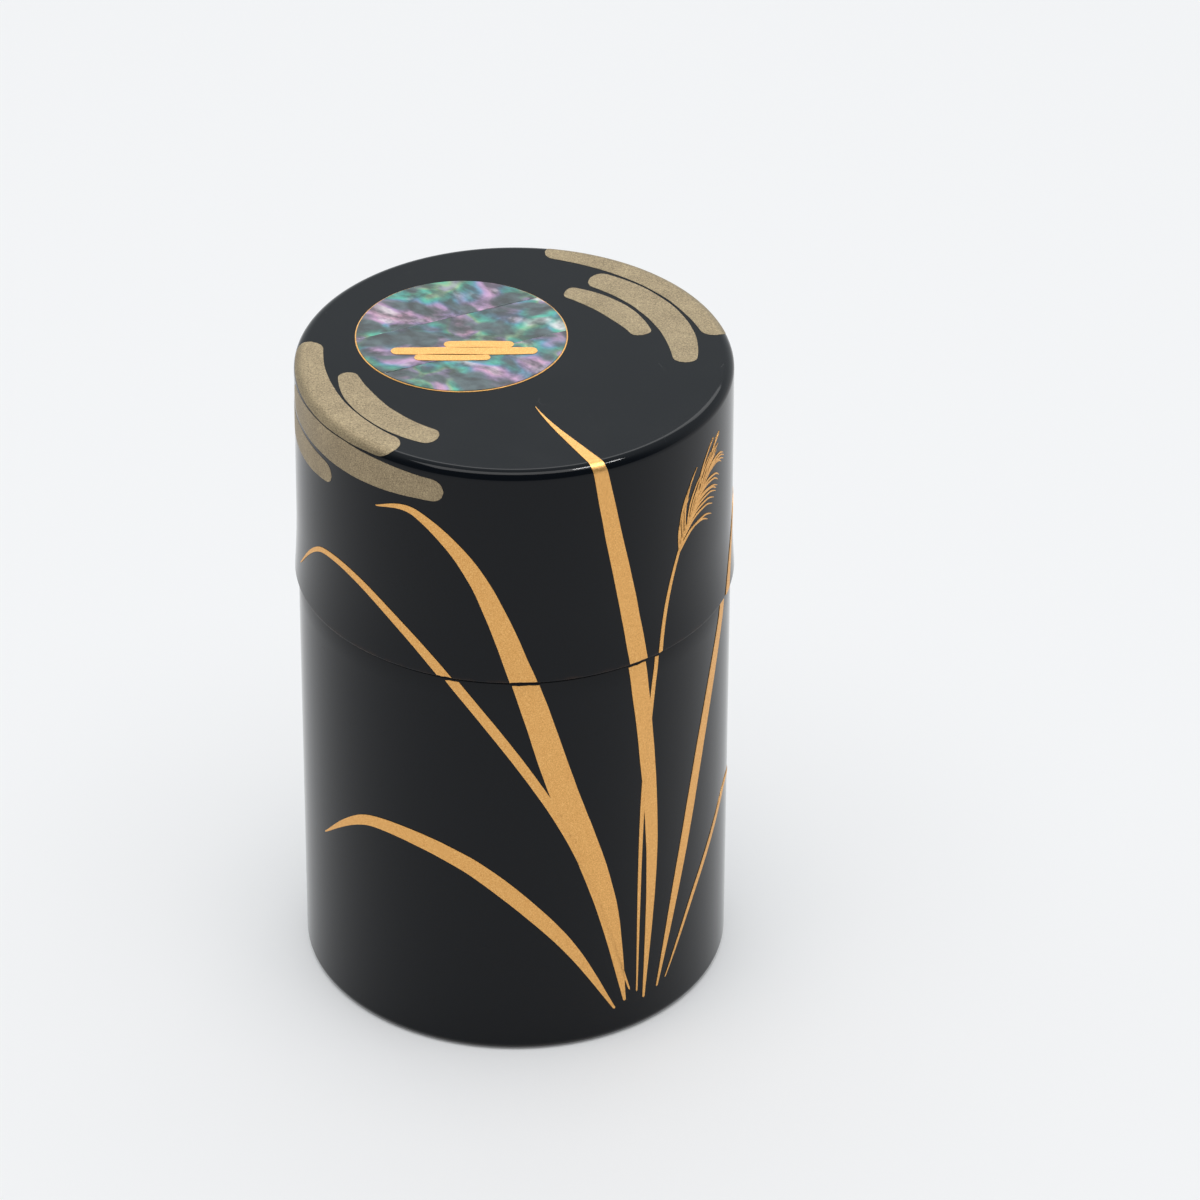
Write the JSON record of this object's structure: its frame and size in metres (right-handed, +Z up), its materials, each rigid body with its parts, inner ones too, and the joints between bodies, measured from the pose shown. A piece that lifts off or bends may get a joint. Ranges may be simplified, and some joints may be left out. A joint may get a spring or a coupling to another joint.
{
  "type": "lacquer tea caddy",
  "caption": "Round black lacquered tea canister with a tall lift-off lid, an inner lid with a knob, gold line decoration and a shell inlay on top.",
  "frame": {"origin": "middle of the face that the caddy stands on, on its turning axis", "axes": "+Z up along the turning axis, -Y towards the viewer of the decoration, +X to the viewer's right"},
  "size_m": [0.0762, 0.0762, 0.1203],
  "materials": {
    "black_lacquer": "turned wood under polished black lacquer",
    "inner_lacquer": "turned wood under satin black lacquer",
    "abalone_shell": "polished iridescent abalone shell",
    "gold_powder": "fine gold powder in lacquer, burnished",
    "dusted_gold": "sparse gold dust sprinkled on black lacquer"
  },
  "bodies": {
    "caddy": {"body_wall": "black_lacquer", "body_base": "black_lacquer", "neck_sleeve": "inner_lacquer"},
    "lid": {"lid_wall": "black_lacquer", "lid_top": "black_lacquer", "moon_shell_1": "abalone_shell", "moon_shell_2": "abalone_shell", "moon_shell_3": "abalone_shell"},
    "inner_lid_body": {"inner_lid": "inner_lacquer", "inner_lid_knob": "inner_lacquer"}
  },
  "joints": [
    {"name": "lid_lift", "type": "slide", "parent": "caddy", "child": "lid", "axis": [0, 0, 1], "range_m": [0, 0.12]},
    {"name": "inner_lid_lift", "type": "slide", "parent": "caddy", "child": "inner_lid_body", "axis": [0, 0, 1], "range_m": [0, 0.06]}
  ],
  "couplings": [
    {"joint": "inner_lid_lift", "follows": "lid_lift", "ratio": 0.5}
  ]
}
